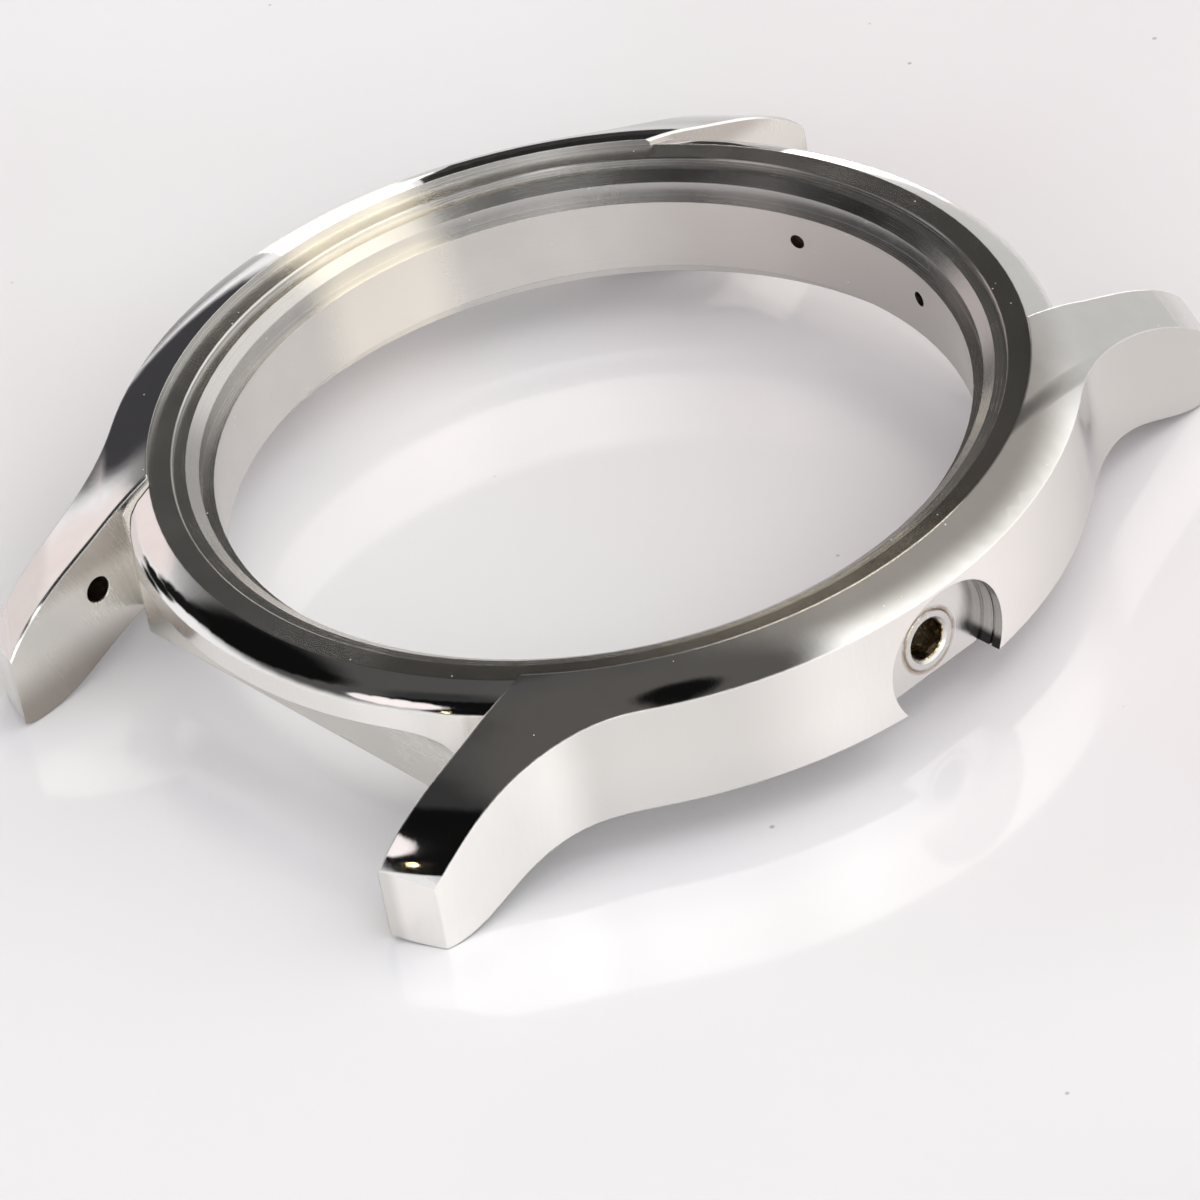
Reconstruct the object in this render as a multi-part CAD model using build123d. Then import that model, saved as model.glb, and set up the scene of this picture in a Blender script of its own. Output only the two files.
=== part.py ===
from build123d import *
import math
import os

# Empty watch case: a bare case middle with four lugs, and its pressed-in crown tube.
# Millimetres. +X to the crown, +Y to 12 o'clock, +Z up to the crystal side.
# Z is zero at the lowest line of the lugs, and the bore is centred on X = Y = 0.

# The bore, and the ring steps outside it that the crystal and the bezel sit on.
bore_radius = 14.0
ledge_width = 0.45
seat_slope_width = 0.45
inner_step_width = 0.45
bezel_seat_width = 0.9
rim_height = 6.83
bezel_seat_drop = 0.25
inner_step_drop = 0.2
seat_slope_drop = 0.3
ledge_drop = 0.6
turned_edge = 0.06

# The band round the bore: its slightly crowned flank, its underside and the recess for the back.
flank_width = 1.85
flank_fall = 0.75
flank_inner_slope_share = 0.3
flank_outer_slope_share = 0.53
band_bottom = 1.78
back_recess_width = 0.7
back_recess_depth = 0.75

# The band's ends between the lugs: a crowned bevel, a short wall and a straight undercut.
end_inset = 0.7
bevel_fall = 0.7
bevel_inner_slope_share = 0.4
bevel_outer_slope_share = 1.5
end_wall_height = 0.92
undercut_clearance = 0.85
undercut_corner_radius = 1.0

# The lugs seen from above.
lug_gap = 20.0
lug_overhang = 2.3
lug_corner_setback = 0.8
lug_tip_width = 2.05
lug_waist_setback = 4.1
lug_waist_width = 2.35
lug_root_angle = 38.0
lug_tip_turn_in_share = 0.3
lug_chamfer = 0.1

# The turned fall over the lugs, and the curve under them.
top_middle_share = 0.48
top_middle_height_share = 0.64
lug_tip_height = 3.1
top_tip_slope_share = 1.3
lug_tip_curl = 0.22
under_start_inset = 5.5
under_mid_share = 0.543
under_mid_height_share = 0.466
under_low_setback = 0.8

# Spring bar holes, blind, in the lugs' inner faces.
spring_bar_radius = 0.5
spring_bar_inset = 2.1
spring_bar_height = 3.6
spring_bar_depth = 1.2
spring_bar_countersink = 0.04

# The crown's pocket, its tube and the stem's hole.
crown_height = 3.23
pocket_radius = 2.72
pocket_depth = 1.2
pocket_groove_width = 0.12
pocket_groove_depth = 0.08
pocket_groove_share = 0.45
tube_outer_radius = 1.2
tube_bore_radius = 0.78
tube_proud = 0.05
tube_seat_depth = 1.95
tube_mouth_chamfer = 0.14
tube_outer_chamfer = 0.05
stem_radius = 0.6

# Two small blind marks in the bore's wall, either side of 12 o'clock.
mark_radius = 0.3
mark_depth = 0.35
mark_angle = 13.4
mark_drop = 1.2

# How far each cutting shape runs past what it cuts.
overrun = 1.0

RIGHT_ANGLE = 90.0

ledge_radius = bore_radius + ledge_width
slope_radius = ledge_radius + seat_slope_width
step_radius = slope_radius + inner_step_width
rim_radius = step_radius + bezel_seat_width
band_radius = rim_radius + flank_width
end_radius = band_radius - end_inset
back_recess_radius = bore_radius + back_recess_width

seat_height = rim_height - bezel_seat_drop
step_height = seat_height - inner_step_drop
slope_height = step_height - seat_slope_drop
ledge_height = slope_height - ledge_drop
end_edge_height = seat_height - bevel_fall
undercut_height = end_edge_height - end_wall_height

gap_half = lug_gap / 2
lug_tip_reach = band_radius + lug_overhang
lug_corner_reach = lug_tip_reach - lug_corner_setback
lug_waist_reach = lug_tip_reach - lug_waist_setback
lug_tip_radius = math.hypot(gap_half, lug_tip_reach)
under_start_reach = band_radius - under_start_inset
under_low_reach = lug_tip_reach - under_low_setback
spring_bar_reach = band_radius - spring_bar_inset
undercut_reach = spring_bar_reach - undercut_clearance
pocket_floor = band_radius - pocket_depth
tube_seat_x = pocket_floor - tube_seat_depth
mark_height = ledge_height - mark_drop


def between(start, end, share):
    """The place that lies this share of the way from start to end."""
    return start + (end - start) * share


def turned(points):
    """Spin an outline of (radius, height) points once round the bore's axis."""
    outline = Polyline(*[(r, 0, z) for r, z in points], close=True)
    return revolve(make_face(outline), axis=Axis.Z)


def turned_about_x(points):
    """Spin an outline of (x, radius) points once round the crown's axis."""
    outline = Polyline(*[(x, 0, crown_height + r) for x, r in points], close=True)
    axis = Axis((0, 0, crown_height), (1, 0, 0))
    return revolve(make_face(outline), axis=axis)


def top_cap():
    """Everything under the top: the crowned flank, which curves down over the lugs."""
    flank_height = rim_height - flank_fall
    far = lug_tip_radius + overrun
    middle = (
        between(band_radius, lug_tip_radius, top_middle_share),
        between(lug_tip_height, flank_height, top_middle_height_share),
    )
    rim = (rim_radius, rim_height)
    flank = (band_radius, flank_height)
    tip = (lug_tip_radius, lug_tip_height)
    beyond = (far, lug_tip_height - overrun * top_tip_slope_share)
    start_slope = (1, -flank_inner_slope_share)
    flank_slope = (1, -flank_outer_slope_share)
    tip_slope = (1, -top_tip_slope_share)
    lines = [
        Line((0, rim_height), rim),
        Spline(rim, flank, tangents=[start_slope, flank_slope]),
        Spline(flank, middle, tip, tangents=[flank_slope, tip_slope]),
        Line(tip, beyond),
        Line(beyond, (far, -overrun)),
        Line((far, -overrun), (0, -overrun)),
        Line((0, -overrun), (0, rim_height)),
    ]
    return revolve(Plane.XZ * make_face(Curve() + lines), axis=Axis.Z)


def lug_plan():
    """One lug seen from above, at the crown side of 12 o'clock."""
    angle = math.radians(lug_root_angle)
    root = (band_radius * math.cos(angle), band_radius * math.sin(angle))
    along = (-math.sin(angle), math.cos(angle))
    waist = (gap_half + lug_waist_width, lug_waist_reach)
    corner = (gap_half + lug_tip_width, lug_corner_reach)
    tip = (gap_half, lug_tip_reach)
    inside = (gap_half, 0)
    flank = Spline(root, waist, corner, tangents=[along, (-lug_tip_turn_in_share, 1)])
    lines = [flank, Line(corner, tip), Line(tip, inside), Line(inside, root)]
    return make_face(Curve() + lines)


def under_the_back():
    """What is cut away below the band and below two lugs, on the 12 o'clock side."""
    mid_reach = between(under_start_reach, under_low_reach, under_mid_share)
    start = (under_start_reach, band_bottom)
    mid = (mid_reach, band_bottom * under_mid_height_share)
    low = (under_low_reach, 0)
    curl = (lug_tip_reach, lug_tip_curl)
    beyond = (lug_tip_reach + overrun, lug_tip_curl)
    beyond_low = (lug_tip_reach + overrun, -overrun)
    lines = [
        Line((0, band_bottom), start),
        Spline(start, mid, low, tangents=[(1, 0), (1, 0)]),
        Spline(low, curl, tangents=[(1, 0), (1, 1)]),
        Line(curl, beyond),
        Line(beyond, beyond_low),
        Line(beyond_low, (0, -overrun)),
        Line((0, -overrun), (0, band_bottom)),
    ]
    half_width = band_radius + lug_tip_width + overrun
    face = Plane.YZ.offset(-half_width) * make_face(Curve() + lines)
    return extrude(face, amount=half_width * 2)


def strap_spaces():
    """What both strap gaps take from the band's top, down to its crowned bevel and its wall."""
    far = lug_tip_reach + overrun
    high = rim_height + overrun
    inner = (rim_radius, seat_height)
    outer = (end_radius, end_edge_height)
    slopes = [(1, -bevel_inner_slope_share), (1, -bevel_outer_slope_share)]
    lines = [
        Line((step_radius, high), (step_radius, seat_height)),
        Line((step_radius, seat_height), inner),
        Spline(inner, outer, tangents=slopes),
        Line(outer, (end_radius, -overrun)),
        Line((end_radius, -overrun), (far, -overrun)),
        Line((far, -overrun), (far, high)),
        Line((far, high), (step_radius, high)),
    ]
    waste = revolve(Plane.XZ * make_face(Curve() + lines), axis=Axis.Z)
    gap = Box(lug_gap, far * 2, (high + overrun) * 2)
    return waste & gap


def undercut():
    """The straight cut below the band's end that clears the spring bar, at 12 o'clock."""
    far = lug_tip_reach + overrun
    corner = undercut_corner_radius
    arc = RadiusArc(
        (undercut_reach, undercut_height - corner),
        (undercut_reach + corner, undercut_height),
        corner,
    )
    lines = [
        Line((0, -overrun), (0, band_bottom)),
        Line((0, band_bottom), (undercut_reach, band_bottom)),
        Line((undercut_reach, band_bottom), (undercut_reach, undercut_height - corner)),
        arc,
        Line((undercut_reach + corner, undercut_height), (far, undercut_height)),
        Line((far, undercut_height), (far, -overrun)),
        Line((far, -overrun), (0, -overrun)),
    ]
    face = Plane.YZ.offset(-gap_half) * make_face(Curve() + lines)
    return extrude(face, amount=lug_gap)


def bore_space():
    """The turned hollow: back recess, bore, ledge, slope, step and bezel seat."""
    recess_top = band_bottom + back_recess_depth
    return turned([
        (0, band_bottom - overrun),
        (back_recess_radius, band_bottom - overrun),
        (back_recess_radius, recess_top),
        (bore_radius, recess_top),
        (bore_radius, ledge_height),
        (ledge_radius, ledge_height),
        (ledge_radius, slope_height),
        (slope_radius, step_height),
        (step_radius, step_height),
        (step_radius, seat_height - turned_edge),
        (step_radius + turned_edge, seat_height),
        (rim_radius, seat_height),
        (rim_radius, rim_height + overrun),
        (0, rim_height + overrun),
    ])


def crown_space():
    """The crown's pocket with its turned line, the tube's seat and the stem's hole."""
    far = band_radius + overrun
    line_start = pocket_floor + (band_radius - pocket_floor) * pocket_groove_share
    line_end = line_start + pocket_groove_width
    return turned_about_x([
        (bore_radius - overrun, 0),
        (far, 0),
        (far, pocket_radius),
        (line_end, pocket_radius),
        (line_end, pocket_radius + pocket_groove_depth),
        (line_start, pocket_radius + pocket_groove_depth),
        (line_start, pocket_radius),
        (pocket_floor, pocket_radius),
        (pocket_floor, tube_outer_radius),
        (tube_seat_x, tube_outer_radius),
        (tube_seat_x, stem_radius),
        (bore_radius - overrun, stem_radius),
    ])


def spring_bar_hole():
    """One blind, countersunk hole from a lug's inner face, on the crown side of 12."""
    mouth = spring_bar_radius + spring_bar_countersink
    points = [
        (gap_half - overrun, 0),
        (gap_half + spring_bar_depth, 0),
        (gap_half + spring_bar_depth, spring_bar_radius),
        (gap_half + spring_bar_countersink, spring_bar_radius),
        (gap_half, mouth),
        (gap_half - overrun, mouth),
    ]
    outline = Polyline(*[(x, spring_bar_reach, spring_bar_height + r) for x, r in points], close=True)
    axis = Axis((0, spring_bar_reach, spring_bar_height), (1, 0, 0))
    return revolve(make_face(outline), axis=axis)


def mark():
    """One small blind mark in the bore's wall, on the crown side of 12 o'clock."""
    length = overrun + mark_depth
    drill = Cylinder(mark_radius, length, align=(Align.CENTER, Align.CENTER, Align.MIN))
    lying = Rot(-RIGHT_ANGLE, 0, 0) * drill
    reach = Pos(0, bore_radius - overrun, mark_height) * lying
    return Rot(0, 0, -mark_angle) * reach


def both_sides(shape):
    """The shape and its mirror image on the 9 o'clock side."""
    return [shape, shape.mirror(Plane.YZ)]


def four_corners(shape):
    """The shape at all four lugs."""
    pair = both_sides(shape)
    return pair + [each.mirror(Plane.XZ) for each in pair]


def blank():
    """The outline of band and lugs from above, raised and capped by the turned top."""
    outline = Sketch() + Circle(band_radius)
    for plan in four_corners(lug_plan()):
        outline = outline + plan
    return extrude(outline, amount=rim_height) & top_cap()


def lug_inner_edges(body):
    """The long top edges of the lugs' inner faces."""
    found = []
    for edge in body.edges():
        middle = edge @ 0.5
        beside_gap = abs(abs(middle.X) - gap_half) < lug_chamfer / 2
        on_lug = abs(middle.Y) > gap_half + lug_tip_width and middle.Z > lug_tip_height
        upright = abs((edge @ 0).Y - (edge @ 1).Y) < lug_chamfer
        if beside_gap and on_lug and not upright and edge.length > lug_tip_width:
            found.append(edge)
    return found


def case_middle():
    """Band and lugs in one piece, as it is machined from one forging."""
    back = under_the_back()
    body = blank() - back - back.mirror(Plane.XZ) - strap_spaces()
    body = chamfer(lug_inner_edges(body), lug_chamfer)
    cut = undercut()
    body = body - cut - cut.mirror(Plane.XZ)
    body = body - bore_space() - crown_space()
    for hole in four_corners(spring_bar_hole()):
        body = body - hole
    for spot in both_sides(mark()):
        body = body - spot
    return body


def crown_tube():
    """The tube pressed into the pocket's floor, with a chamfered mouth."""
    face = pocket_floor + tube_proud
    return turned_about_x([
        (tube_seat_x, tube_bore_radius),
        (tube_seat_x, tube_outer_radius),
        (face - tube_outer_chamfer, tube_outer_radius),
        (face, tube_outer_radius - tube_outer_chamfer),
        (face, tube_bore_radius + tube_mouth_chamfer),
        (face - tube_mouth_chamfer, tube_bore_radius),
    ])


if __name__ == "__main__":
    os.makedirs("parts", exist_ok=True)
    export_step(case_middle(), "parts/case_middle.step")
    export_step(crown_tube(), "parts/crown_tube.step")
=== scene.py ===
import math
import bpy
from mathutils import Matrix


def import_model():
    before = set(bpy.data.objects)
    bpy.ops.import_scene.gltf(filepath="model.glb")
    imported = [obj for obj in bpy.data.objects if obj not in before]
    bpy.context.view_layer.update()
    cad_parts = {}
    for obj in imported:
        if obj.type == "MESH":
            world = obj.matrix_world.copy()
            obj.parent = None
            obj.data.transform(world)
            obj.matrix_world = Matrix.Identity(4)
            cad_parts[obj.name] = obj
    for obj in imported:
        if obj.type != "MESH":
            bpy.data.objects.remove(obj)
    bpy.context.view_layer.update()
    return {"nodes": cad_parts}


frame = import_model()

from types import SimpleNamespace

import bpy
from mathutils import Matrix, Vector

case = frame["nodes"]["case_middle"]
tube = frame["nodes"]["crown_tube"]

# Lengths are in millimetres here, and MM turns them into the scene's metres.
MM = 0.001

# The case's sizes, as its solids have them. The bore's axis is Z.
BORE_R = 14.0
RECESS_R = 14.7
STEP_R = 15.35
RIM_R = 16.25
END_R = 17.4
BAND_R = 18.1
BAND_BOTTOM = 1.78
LEDGE_Z = 5.48
GAP_HALF = 10.0
LUG_TIP_Y = 20.4
HOLE_R = 0.5
HOLE_DEPTH = 1.2
HOLE_Y = 16.0
HOLE_Z = 3.6
CROWN_Z = 3.23
POCKET_R = 2.72
POCKET_FLOOR = 16.9
TUBE_R = 1.2
TUBE_BORE_R = 0.78

# Colours: red, green, blue and alpha. A pair runs from dark to light.
POLISHED_STEEL = (0.70, 0.69, 0.68, 1), (0.78, 0.775, 0.765, 1)
BAND_STEEL = (0.80, 0.78, 0.745, 1), (0.97, 0.955, 0.92, 1)
RING_STEEL = (0.36, 0.352, 0.345, 1), (0.62, 0.61, 0.60, 1)
WALL_STEEL = (0.44, 0.42, 0.395, 1), (0.80, 0.785, 0.755, 1)
BACK_STEEL = (0.50, 0.49, 0.47, 1), (0.72, 0.71, 0.69, 1)
BRUSHED_STEEL = (0.72, 0.695, 0.65, 1), (0.95, 0.93, 0.87, 1)
POCKET_STEEL = (0.64, 0.625, 0.60, 1), (0.80, 0.79, 0.775, 1)
POCKET_WALL = (0.22, 0.21, 0.20, 1), (0.66, 0.65, 0.63, 1)
TUBE_FACE = (0.55, 0.54, 0.52, 1), (0.78, 0.77, 0.755, 1)
TUBE_INSIDE = (0.20, 0.165, 0.11, 1), (0.85, 0.68, 0.42, 1)
# painted shade inside the small holes
HOLE_PAINTED_SHADE = (0.03, 0.025, 0.02, 1), (0.22, 0.18, 0.13, 1)
TABLE_WHITE = (0.91, 0.878, 0.91, 1), (0.955, 0.955, 0.985, 1)
# painted shade on the band's side
BAND_PAINTED_SHADE = (0.55, 0.54, 0.515, 1)
# painted shade on the seat
SEAT_PAINTED_SHADE = (0.17, 0.155, 0.14, 1)
# painted shade on the bore's wall
WALL_PAINTED_SHADE = (0.50, 0.465, 0.435, 1)
# a painted highlight on the seat and the bore's wall, beside 9 o'clock
NINE_PAINTED_HIGHLIGHT = (0.95, 0.91, 0.82, 1)
# painted shade at the lower and upper edges of the lugs' inner faces
EDGE_PAINTED_SHADE = (0.27, 0.225, 0.195, 1)
# painted shade at the foot of the crown pocket's wall
FOOT_PAINTED_SHADE = (0.03, 0.03, 0.03, 1)
POCKET_GRIME = (0.40, 0.33, 0.25, 1)
TUBE_GRIME = (0.42, 0.34, 0.25, 1)
TABLE_SPECK = (0.30, 0.29, 0.31, 1)
DUST = (0.88, 0.87, 0.84, 1)
CARD_BLACK = (0.012, 0.011, 0.011, 1)
CARD_CREAM = (0.90, 0.84, 0.74, 1)

# Ramps: the span that most of a noise lies in, and an out that falls.
MOST = (0.3, 0.7)
FALLING = (1.0, 0.0)

# The crease on the lug at 1 o'clock: a point on it, its lean, its height and half its width.
CREASE_X = 14.15
CREASE_Y = 8.0
CREASE_LEAN = 0.183
CREASE_HEIGHT = 0.10
CREASE_HALF = 0.4

# Dust: how close its motes lie, and how large they are as a share of that, from core to edge.
STEEL_MOTES_PER_MM = 1.2
STEEL_MOTE = (0.026, 0.042)
FLOOR_MOTES_PER_MM = 0.26
FLOOR_MOTE = (0.014, 0.032)
DUST_ROUGH = 0.7

# The photograph's camera: where it stands, which way its back points, and its roll.
CAMERA_AT = (186.99, -141.96, 173.53)
CAMERA_AZIMUTH = -36.98
CAMERA_ELEVATION = 36.85
CAMERA_ROLL = -10.93
LENS = 237.5
SENSOR = 36
CLIP_NEAR = 10.0
CLIP_FAR = 10000.0

# The stage: a floor just under the case, and cards that lie from a near edge to a far one.
FLOOR_HALF = 2000.0
FLOOR_DROP = 0.02
CARD_FAR = 80.0
CARD_HEIGHT = 15.0

POOL_HEIGHT = 300.0
POOL_SOURCE_R = 4.0
POOLS = (
    # x and y on the floor, how wide, how bright
    (14.3, -19.0, 9.0, 0.035),
    (21.4, -5.0, 8.0, 0.030),
    (-6.5, -21.5, 5.0, 0.010),
    (-9.0, -2.5, 8.0, 0.022),
)
FILL_ENERGY = 0.70
FILL_ANGLE = 70
FILL_HEIGHT = 500.0

STUDIO_WHITE = (1.12, 1.10, 1.115, 1)
SKY_PATCHES = (
    # azimuth, elevation, full within, gone beyond, colour; the angles are in degrees
    (70, 45, 18, 40, (1.7, 1.68, 1.62)),
    (112, 8, 12, 28, (0.70, 0.69, 0.67)),
    (335, 38, 22, 40, (2.2, 2.2, 2.18)),
    (300, 50, 10, 14, (0.02, 0.02, 0.02)),
    (348, 54, 12, 16, (0.02, 0.02, 0.02)),
    (135, 52, 22, 37, (0.40, 0.375, 0.345)),
    (150, 38, 16, 30, (0.11, 0.107, 0.102)),
    (225, 63, 29, 45, (0.10, 0.098, 0.096)),
    (248, 68, 8, 14, (0.045, 0.044, 0.045)),
    (0, 88, 13, 21, (0.12, 0.113, 0.106)),
    (90, 86, 3, 5, (0.006, 0.006, 0.006)),
    (134, 9, 4, 8, (6.0, 5.6, 5.4)),
    (128, 55, 4, 8, (6.0, 5.4, 4.3)),
    (208, 43, 13, 18, (0.006, 0.006, 0.006)),
    (196, 15, 5, 8, (0.01, 0.01, 0.01)),
    (198, 28, 6, 9, (0.01, 0.01, 0.01)),
    (197, 4, 2, 6, (0.01, 0.01, 0.01)),
    (269, 55, 14, 17, (0.006, 0.006, 0.006)),
    (277, 41, 7, 9, (0.006, 0.006, 0.006)),
    (161, 12, 9, 13, (0.06, 0.058, 0.065)),
    (180, 24, 6, 10, (1.08, 0.96, 0.94)),
    (181, 6, 9, 13, (0.93, 0.84, 0.82)),
    (168, 64, 5, 9, (0.006, 0.006, 0.006)),
    (257, 44, 8.5, 10, (1.3, 1.2, 1.2)),
    (274, 38, 0.4, 0.8, (14.0, 11.0, 6.0)),
)


class Nodes:
    """Short calls that add nodes to a tree. A value is a number, a colour or a node's output."""

    def __init__(self, tree):
        self.tree = tree

    def add(self, kind, **settings):
        node = self.tree.nodes.new(kind)
        for name, setting in settings.items():
            setattr(node, name, setting)
        return node

    def feed(self, socket, value):
        """Links a node's output to the socket, or else sets the socket's own value."""
        if isinstance(value, bpy.types.NodeSocket):
            self.tree.links.new(value, socket)
        else:
            socket.default_value = value

    def feed_first(self, node, *values):
        """Feeds the node's first sockets, in their order, and returns its first output."""
        for socket, value in zip(node.inputs, values):
            self.feed(socket, value)
        return node.outputs[0]

    def feed_named(self, node, **values):
        for name, value in values.items():
            self.feed(node.inputs[name], value)
        return node

    def math(self, operation, *values):
        return self.feed_first(self.add("ShaderNodeMath", operation=operation), *values)

    def plus(self, a, b):
        return self.math("ADD", a, b)

    def minus(self, a, b):
        return self.math("SUBTRACT", a, b)

    def times(self, a, b):
        return self.math("MULTIPLY", a, b)

    def larger(self, a, b):
        return self.math("MAXIMUM", a, b)

    def unsigned(self, a):
        return self.math("ABSOLUTE", a)

    def blend(self, a, share, b):
        """This share of a, and the rest of b."""
        return self.plus(self.times(a, share), self.times(b, 1 - share))

    def reach(self, a, b):
        """The length of the line that runs a one way and b squarely to it."""
        return self.math("SQRT", self.plus(self.times(a, a), self.times(b, b)))

    def ramp(self, value, span, out=(0.0, 1.0)):
        """Eases from the first value of out to the second while the value crosses the span."""
        node = self.add("ShaderNodeMapRange", interpolation_type="SMOOTHSTEP")
        return self.feed_first(node, value, *span, *out)

    def mix(self, factor, a, b):
        """The colour between a and b, through a Mix node's three sockets for colours."""
        node = self.add("ShaderNodeMix", data_type="RGBA")
        for index, value in ((0, factor), (6, a), (7, b)):
            self.feed(node.inputs[index], value)
        return node.outputs[2]

    def join(self, x, y, z):
        return self.feed_first(self.add("ShaderNodeCombineXYZ"), x, y, z)

    def noise(self, point, per_mm, detail=3.0, rough=0.5):
        node = self.add("ShaderNodeTexNoise")
        self.feed_named(node, Vector=point, Scale=per_mm, Detail=detail, Roughness=rough)
        return node.outputs["Fac"]

    def lines(self, value, per_mm, detail=3.0, rough=0.5):
        """A noise that changes only with this value, so it draws rings or straight lines."""
        along = self.join(self.times(value, per_mm), 0.0, 0.0)
        return self.noise(along, 1.0, detail, rough)

    def motes(self, point, per_mm, size, strength):
        """Sparse round specks: the strength at a speck's core, and zero past its edge."""
        node = self.feed_named(self.add("ShaderNodeTexVoronoi"), Vector=point, Scale=per_mm)
        return self.ramp(node.outputs["Distance"], size, (strength, 0.0))

    def place(self):
        """The shaded point in the object's frame: point, its x, y and z, and r from the Z axis."""
        coords = self.add("ShaderNodeTexCoord")
        scaled = self.add("ShaderNodeVectorMath", operation="SCALE")
        self.feed_named(scaled, Vector=coords.outputs["Object"], Scale=1 / MM)
        split = self.feed_named(self.add("ShaderNodeSeparateXYZ"), Vector=scaled.outputs[0])
        x, y, z = split.outputs
        return SimpleNamespace(point=scaled.outputs[0], x=x, y=y, z=z, r=self.reach(x, y))

    def bump(self, height, depth, normal):
        node = self.add("ShaderNodeBump")
        self.feed_named(node, Strength=1.0, Distance=depth * MM, Height=height, Normal=normal)
        return node.outputs[0]

    def soft_edge(self, radius):
        """A normal that rounds the edges in the shading, by this radius."""
        node = self.add("ShaderNodeBevel", samples=4)
        return self.feed_named(node, Radius=radius * MM).outputs[0]


class Surface(Nodes):
    """A new material, a metal at first, whose nodes feed its Principled shader."""

    def __init__(self, name, metallic=1.0):
        self.material = bpy.data.materials.new(name)
        self.material.use_nodes = True
        super().__init__(self.material.node_tree)
        self.sockets = self.tree.nodes["Principled BSDF"].inputs
        self.set({"Metallic": metallic})

    def set(self, values):
        for name, value in values.items():
            self.feed(self.sockets[name], value)

    def dusty(self, point, steel, rough):
        """Steel of this colour and roughness, with sparse motes of dust about 0.06 mm wide."""
        mote = self.motes(point, STEEL_MOTES_PER_MM, STEEL_MOTE, 0.8)
        self.set({
            "Base Color": self.mix(mote, steel, DUST),
            "Metallic": self.minus(1.0, mote),
            "Roughness": self.larger(rough, self.times(mote, DUST_ROUGH)),
        })

    def crosswise(self, amount):
        """Spreads the gloss across the turning lines, as fine rings round the bore's axis do."""
        tangent = self.add("ShaderNodeTangent", direction_type="RADIAL", axis="Z")
        self.set({
            "Anisotropic": amount,
            "Anisotropic Rotation": 0.25,
            "Tangent": tangent.outputs[0],
        })


def polished():
    """The flank and the lugs' tops: a mirror with a faint haze and a few motes of dust."""
    s = Surface("polished_steel")
    p = s.place()
    haze = s.noise(p.point, 0.9, detail=4.0)
    fine = s.noise(p.point, 14.0)
    steel = s.mix(haze, *POLISHED_STEEL)
    s.dusty(p.point, steel, s.ramp(fine, (0.3, 0.8), (0.03, 0.075)))
    # the soft crease where the top of the lug at 1 o'clock parts from the flank
    lean = s.times(s.minus(p.y, CREASE_Y), CREASE_LEAN)
    past = s.plus(s.minus(p.x, CREASE_X), lean)
    step = s.ramp(past, (-CREASE_HALF, CREASE_HALF), (0.0, CREASE_HEIGHT))
    on_crown_side = s.ramp(p.x, (6.0, 9.0))
    on_lug = s.times(s.ramp(p.y, (0.0, 4.0)), s.ramp(p.y, (16.0, 18.0), FALLING))
    step = s.times(s.times(step, on_crown_side), on_lug)
    crease = s.bump(step, 1.0, s.soft_edge(0.09))
    s.set({"Normal": s.bump(haze, 0.0018, crease)})
    return s.material


def band_side():
    """The band's side and the lugs' outer sides and ends: polished over a fine upright grain."""
    s = Surface("band_side_steel")
    p = s.place()
    drawn_out = s.join(s.times(p.x, 3.0), s.times(p.y, 3.0), s.times(p.z, 0.35))
    grain = s.noise(drawn_out, 3.0, detail=4.0)
    cloud = s.noise(p.point, 0.12, detail=2.0)
    tone = s.blend(grain, 0.3, cloud)
    # painted shade: darker at 4 o'clock, past 2 o'clock and on the lugs' flat ends, where the
    # steel mirrors darker surroundings. The tones follow the photo, where they may be
    # reflections
    at_four = s.times(s.ramp(p.y, (-14.5, -12.5)), s.ramp(p.y, (-9.0, -4.0), (0.65, 0.0)))
    past_two = s.ramp(p.y, (0.5, 12.0), (0.0, 0.85))
    at_ends = s.ramp(s.unsigned(p.y), (LUG_TIP_Y - 0.3, LUG_TIP_Y - 0.1), (0.0, 0.6))
    painted_shade = s.larger(s.plus(at_four, past_two), at_ends)
    steel = s.mix(tone, *BAND_STEEL)
    s.set({
        "Base Color": s.mix(painted_shade, steel, BAND_PAINTED_SHADE),
        "Roughness": s.ramp(grain, MOST, (0.10, 0.18)),
        "Normal": s.bump(grain, 0.003, s.soft_edge(0.07)),
    })
    return s.material


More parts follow.
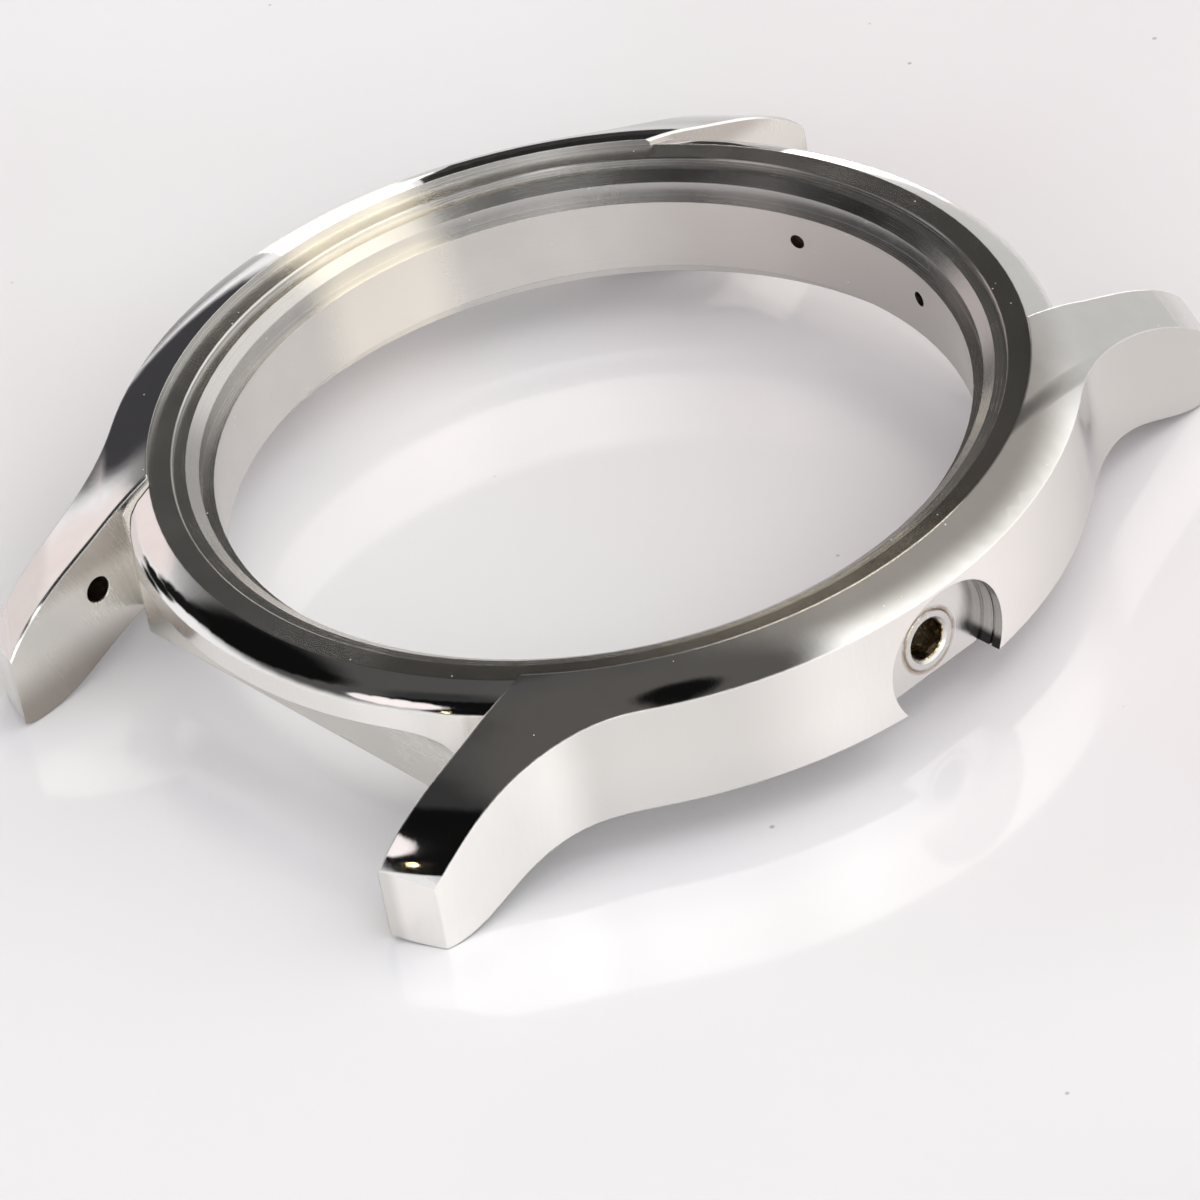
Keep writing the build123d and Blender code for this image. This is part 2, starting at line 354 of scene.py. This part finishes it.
def turned(name, colours, roughness, by_height=False):
    """A lathe-turned face: fine rings round the bore's axis, or lines at heights on its wall."""
    s = Surface(name)
    p = s.place()
    lines = s.lines(p.z if by_height else p.r, 22.0, rough=0.7)
    cloud = s.noise(p.point, 0.35)
    tone = s.blend(lines, 0.6, cloud)
    steel = s.mix(tone, *colours)
    coarse = 0.0
    # painted shade: darker towards 1 o'clock, and the seat also towards 4 o'clock, where the
    # turned steel mirrors darker surroundings. The light place below is a painted highlight.
    # The tones follow the photo, where they may be reflections, and so does the light place
    # below
    toward_one = s.plus(s.times(p.x, 0.5), s.times(p.y, 0.87))
    uneven = s.ramp(cloud, MOST, (0.8, 1.0))
    painted_shade = s.times(s.ramp(toward_one, (2.0, 12.0), (0.0, 0.6)), uneven)
    if by_height:
        steel = s.mix(painted_shade, steel, WALL_PAINTED_SHADE)
    else:
        toward_four = s.minus(s.times(p.x, 0.94), s.times(p.y, 0.34))
        painted_shade = s.larger(painted_shade, s.ramp(toward_four, (6.0, 13.0), (0.0, 0.75)))
        onto_seat = (STEP_R - 0.15, STEP_R + 0.15)
        painted_shade = s.times(painted_shade, s.ramp(p.r, onto_seat, (0.25, 1.0)))
        steel = s.mix(painted_shade, steel, SEAT_PAINTED_SHADE)
        coarse = s.ramp(p.r, onto_seat, (0.04, 0.0))
        s.crosswise(0.8)
    # lighter beside 9 o'clock, between two spokes: a painted highlight; also less glossy there
    slope = s.math("DIVIDE", p.y, s.times(p.x, -1.0))
    spokes = s.times(s.ramp(slope, (-0.12, 0.06)), s.ramp(slope, (0.26, 0.44), FALLING))
    light = s.times(spokes, s.ramp(p.x, (-9.0, -6.0), (0.85, 0.0)))
    steel = s.mix(light, steel, NINE_PAINTED_HIGHLIGHT)
    coarse = s.plus(s.times(light, 0.16), coarse)
    s.dusty(p.point, steel, s.plus(s.ramp(tone, MOST, roughness), coarse))
    s.set({"Normal": s.bump(lines, 0.005, s.soft_edge(0.04))})
    return s.material


def brushed():
    """The lugs' inner faces and the wall between them: milled in shallow arcs, then brushed."""
    s = Surface("brushed_lug_steel")
    p = s.place()
    arc_y, arc_z = 31.0, -2.0
    arc = s.reach(s.minus(s.unsigned(p.y), arc_y), s.minus(p.z, arc_z))
    lines = s.noise(s.join(s.times(arc, 14.0), s.times(p.z, 0.3), 0.0), 1.0, detail=4.0, rough=0.7)
    tone = s.blend(lines, 0.5, s.noise(p.point, 0.5))
    clean = s.mix(tone, *BRUSHED_STEEL)
    # painted shade: darker towards the lower and the upper edge of the lugs' inner faces
    edges = s.plus(s.ramp(p.z, (0.6, 2.8), (0.8, 0.0)), s.ramp(p.z, (3.9, 4.9), (0.0, 0.45)))
    painted_shade = s.times(edges, s.ramp(s.unsigned(p.x), (GAP_HALF - 0.1, GAP_HALF)))
    s.set({
        "Base Color": s.mix(painted_shade, clean, EDGE_PAINTED_SHADE),
        "Roughness": s.ramp(tone, MOST, (0.2, 0.3)),
        "Normal": s.bump(lines, 0.006, s.soft_edge(0.05)),
    })
    return s.material


def pocket():
    """The crown's pocket: end-milled, with rings round the tube and grime at its joint."""
    s = Surface("pocket_steel")
    p = s.place()
    around = s.reach(p.y, s.minus(p.z, CROWN_Z))
    rings = s.lines(around, 16.0, rough=0.6)
    patches = s.noise(p.point, 2.2, detail=5.0, rough=0.65)
    steel = s.mix(rings, *POCKET_STEEL)
    # the pocket's round wall, turned in darker lines, and nearly black at its foot with painted
    # shade
    on_wall = s.ramp(around, (POCKET_R - 0.12, POCKET_R - 0.04))
    wall_lines = s.lines(p.x, 5.0, rough=0.6)
    wall = s.mix(wall_lines, *POCKET_WALL)
    steel = s.mix(on_wall, steel, wall)
    painted_foot_shade = s.times(on_wall, s.ramp(p.z, (2.05, 2.35), FALLING))
    steel = s.mix(painted_foot_shade, steel, FOOT_PAINTED_SHADE)
    by_tube = s.ramp(around, (TUBE_R + 0.02, TUBE_R + 0.20), (0.9, 0.0))
    grime = s.times(by_tube, s.ramp(patches, (0.3, 0.6), (0.3, 1.0)))
    s.set({
        "Base Color": s.mix(grime, steel, POCKET_GRIME),
        "Roughness": s.ramp(grime, (0.0, 1.0), (0.2, 0.5)),
        "Normal": s.bump(rings, 0.004, s.soft_edge(0.04)),
    })
    return s.material


def tube_steel():
    """The crown tube: a turned face with brown grime at its edge, and gold-brown flecks inside."""
    s = Surface("tube_steel")
    p = s.place()
    around = s.reach(p.y, s.minus(p.z, CROWN_Z))
    rings = s.lines(around, 25.0, detail=2.0, rough=0.6)
    patches = s.noise(p.point, 3.0, detail=5.0, rough=0.7)
    face = s.mix(rings, *TUBE_FACE)
    edge = s.times(s.ramp(around, (TUBE_R - 0.12, TUBE_R - 0.02)), s.ramp(patches, (0.3, 0.55)))
    face = s.mix(edge, face, TUBE_GRIME)
    flecks = s.ramp(patches, (0.52, 0.6))
    hole = s.mix(flecks, *TUBE_INSIDE)
    inside = s.ramp(around, (TUBE_BORE_R + 0.06, TUBE_BORE_R + 0.02))
    s.set({
        "Base Color": s.mix(inside, face, hole),
        "Roughness": s.ramp(patches, MOST, (0.22, 0.42)),
        "Normal": s.bump(patches, 0.01, s.soft_edge(0.03)),
    })
    return s.material


def hollow():
    """Inside the small holes: dark painted shade, in patches."""
    s = Surface("hole_painted_shade")
    patches = s.noise(s.place().point, 4.0, detail=4.0, rough=0.65)
    s.set({
        "Base Color": s.mix(patches, *HOLE_PAINTED_SHADE),
        "Roughness": s.ramp(patches, MOST, (0.35, 0.55)),
        "Normal": s.bump(patches, 0.01, s.soft_edge(0.03)),
    })
    return s.material


POLISHED, SIDE, RING, WALL, BRUSHED, POCKET, BACK, HOLLOW = range(8)

# How finish_of sorts the faces: a face's middle lies within SLACK of the surface that it is on,
# small features are caught with a MARGIN, and a face whose normal rises less than STEEP stands
# upright. The bore's marks reach less than MARK_REACH into its wall, and the back's faces lie
# below BACK_TOP. The bore and its steps lie above RECESS_Z, and the lugs beyond LUG_ROOT_Y.
SLACK = 0.02
MARGIN = 0.1
STEEP = 0.35
MARK_REACH = 0.5
RECESS_Z = BAND_BOTTOM + 0.5
BACK_TOP = BAND_BOTTOM + 1.2
LUG_ROOT_Y = 14.0


def finish_of(centre, normal):
    """Which finish a face of the case has, from where its middle lies and which way it faces."""
    x, y, z = (v / MM for v in centre)
    r = math.hypot(x, y)
    into_wall = r - BORE_R
    into_lug = abs(x) - GAP_HALF
    below_ledge = LEDGE_Z - z
    from_hole = math.hypot(abs(y) - HOLE_Y, z - HOLE_Z)
    from_crown = math.hypot(y, z - CROWN_Z)
    upright = abs(normal.z) < STEEP
    downward = normal.z < -0.3
    inward = normal.x * x + normal.y * y < 0

    # the spring bar holes, then the two small marks in the bore's wall beside 12 o'clock
    if SLACK < into_lug < HOLE_DEPTH + MARGIN and from_hole < HOLE_R + SLACK:
        return HOLLOW
    if SLACK < into_wall < MARK_REACH and 0.5 < below_ledge < 2.0 and y > abs(x):
        return HOLLOW
    # what the crown's cutter left, without the flank above it and the band's side round it
    milled = from_crown < POCKET_R + MARGIN and x > POCKET_FLOOR - MARGIN
    if milled and normal.z < 0.5 and (r < BAND_R - SLACK or not upright):
        return POCKET
    if into_wall < SLACK and upright:
        return WALL
    if r < RIM_R + SLACK / 2 and z > RECESS_Z and (normal.z > STEEP or inward):
        return RING
    if z < BACK_TOP and (downward or r < RECESS_R + MARGIN):
        return BACK
    on_inner_face = abs(normal.x) > 0.9 and abs(into_lug) < 0.4 and abs(y) > LUG_ROOT_Y
    on_end_wall = into_lug < SLACK and r < END_R - MARGIN
    if upright and (on_inner_face or on_end_wall):
        return BRUSHED
    return SIDE if upright else POLISHED


def dress_case():
    mesh = case.data
    mesh.materials.clear()
    for material in (
        # in the order of the finishes
        polished(),
        band_side(),
        turned("turned_ring_steel", RING_STEEL, (0.16, 0.26)),
        turned("bore_wall_steel", WALL_STEEL, (0.16, 0.26), by_height=True),
        brushed(),
        pocket(),
        turned("turned_back_steel", BACK_STEEL, (0.22, 0.34)),
        hollow(),
    ):
        mesh.materials.append(material)
    for face in mesh.polygons:
        face.material_index = finish_of(face.center, face.normal)


def dress_tube():
    tube.data.materials.clear()
    tube.data.materials.append(tube_steel())


def direction(azimuth, elevation):
    """The unit vector that points this way, in degrees from +X and up from the floor."""
    a, e = math.radians(azimuth), math.radians(elevation)
    return Vector((math.cos(a) * math.cos(e), math.sin(a) * math.cos(e), math.sin(e)))


def add_object(name, data):
    obj = bpy.data.objects.new(name, data)
    bpy.context.scene.collection.objects.link(obj)
    return obj


def add_sheet(name, corners, faces, material):
    """A thin prop with these corners."""
    mesh = bpy.data.meshes.new(name)
    mesh.from_pydata([Vector(corner) * MM for corner in corners], [], faces)
    mesh.materials.append(material)
    return add_object(name, mesh)


def add_lamp(name, kind, energy, at):
    """A lamp that no gloss mirrors."""
    data = bpy.data.lights.new(name, kind)
    data.energy = energy
    lamp = add_object(name, data)
    lamp.location = Vector(at) * MM
    lamp.visible_glossy = False
    return data


def camera():
    """The photograph's camera: right, up and back are its axes in the part's frame."""
    back = direction(CAMERA_AZIMUTH, CAMERA_ELEVATION)
    side = direction(CAMERA_AZIMUTH + 90, 0)
    rise = back.cross(side)
    roll = math.radians(CAMERA_ROLL)
    right = side * math.cos(roll) + rise * math.sin(roll)
    up = rise * math.cos(roll) - side * math.sin(roll)
    data = bpy.data.cameras.new("camera")
    data.lens = LENS
    data.sensor_width = SENSOR
    data.clip_start = CLIP_NEAR * MM
    data.clip_end = CLIP_FAR * MM
    cam = add_object("camera", data)
    turn = Matrix((right, up, back)).transposed().to_4x4()
    cam.matrix_world = Matrix.Translation(Vector(CAMERA_AT) * MM) @ turn
    bpy.context.scene.camera = cam


def floor():
    """A glossy white table with a faint cloud in its white, and a few specks."""
    s = Surface("white_gloss", metallic=0.0)
    p = s.place()
    cloud = s.ramp(s.noise(p.point, 0.02, detail=2.0), (0.35, 0.65))
    clean = s.mix(cloud, *TABLE_WHITE)
    mote = s.motes(p.point, FLOOR_MOTES_PER_MM, FLOOR_MOTE, 0.6)
    s.set({
        "Base Color": s.mix(mote, clean, TABLE_SPECK),
        "Roughness": 0.07,
        "IOR": 1.55,
    })
    quarters = ((-1, -1), (1, -1), (1, 1), (-1, 1))
    corners = [(x * FLOOR_HALF, y * FLOOR_HALF, 0) for x, y in quarters]
    obj = add_sheet("floor", corners, [(0, 1, 2, 3)], s.material)
    obj.location.z = -FLOOR_DROP * MM


def card(name, start, end, near, colour, glow):
    """A folded card behind the case, out of the picture: it lies flat and its far end stands."""
    s = Surface(name, metallic=0.0)
    s.set({
        "Base Color": colour,
        "Roughness": 0.8,
        "Emission Color": colour,
        "Emission Strength": glow,
    })
    lying = [(start, near), (end, near), (end, CARD_FAR), (start, CARD_FAR)]
    corners = [direction(azimuth, 0) * reach for azimuth, reach in lying]
    corners += [corner + Vector((0, 0, CARD_HEIGHT)) for corner in corners[2:]]
    obj = add_sheet(name, corners, [(0, 1, 2, 3), (3, 2, 4, 5)], s.material)


def pools():
    """Soft pools of light on the floor, as the polished case throws them round itself."""
    for x, y, width, power in POOLS:
        data = add_lamp("pool", "SPOT", power, (x, y, POOL_HEIGHT))
        data.spot_size = math.atan2(width, POOL_HEIGHT)
        data.spot_blend = 1.0
        data.shadow_soft_size = POOL_SOURCE_R * MM


def fill():
    """A broad soft light from above, for the floor."""
    data = add_lamp("fill", "SUN", FILL_ENERGY, (0, 0, FILL_HEIGHT))
    data.angle = math.radians(FILL_ANGLE)


def world():
    """A white studio with darker and brighter patches of sky, where the steel mirrors them into
    the photograph's view."""
    studio = bpy.data.worlds.new("studio")
    bpy.context.scene.world = studio
    studio.use_nodes = True
    n = Nodes(studio.node_tree)
    coords = n.add("ShaderNodeTexCoord")
    colour = STUDIO_WHITE
    for azimuth, elevation, *edges, tone in SKY_PATCHES:
        dot = n.add("ShaderNodeVectorMath", operation="DOT_PRODUCT")
        n.feed_first(dot, coords.outputs["Generated"], direction(azimuth, elevation))
        full, gone = (math.cos(math.radians(edge)) for edge in edges)
        colour = n.mix(n.ramp(dot.outputs["Value"], (gone, full)), colour, (*tone, 1))
    n.feed_named(n.tree.nodes["Background"], Color=colour, Strength=1.0)


dress_case()
dress_tube()
camera()
floor()
card("black_card", 130, 149, 41, CARD_BLACK, 0.0)
card("cream_card", 149.5, 158, 47, CARD_CREAM, 1.3)
pools()
fill()
world()
bpy.context.scene.view_settings.view_transform = "Standard"
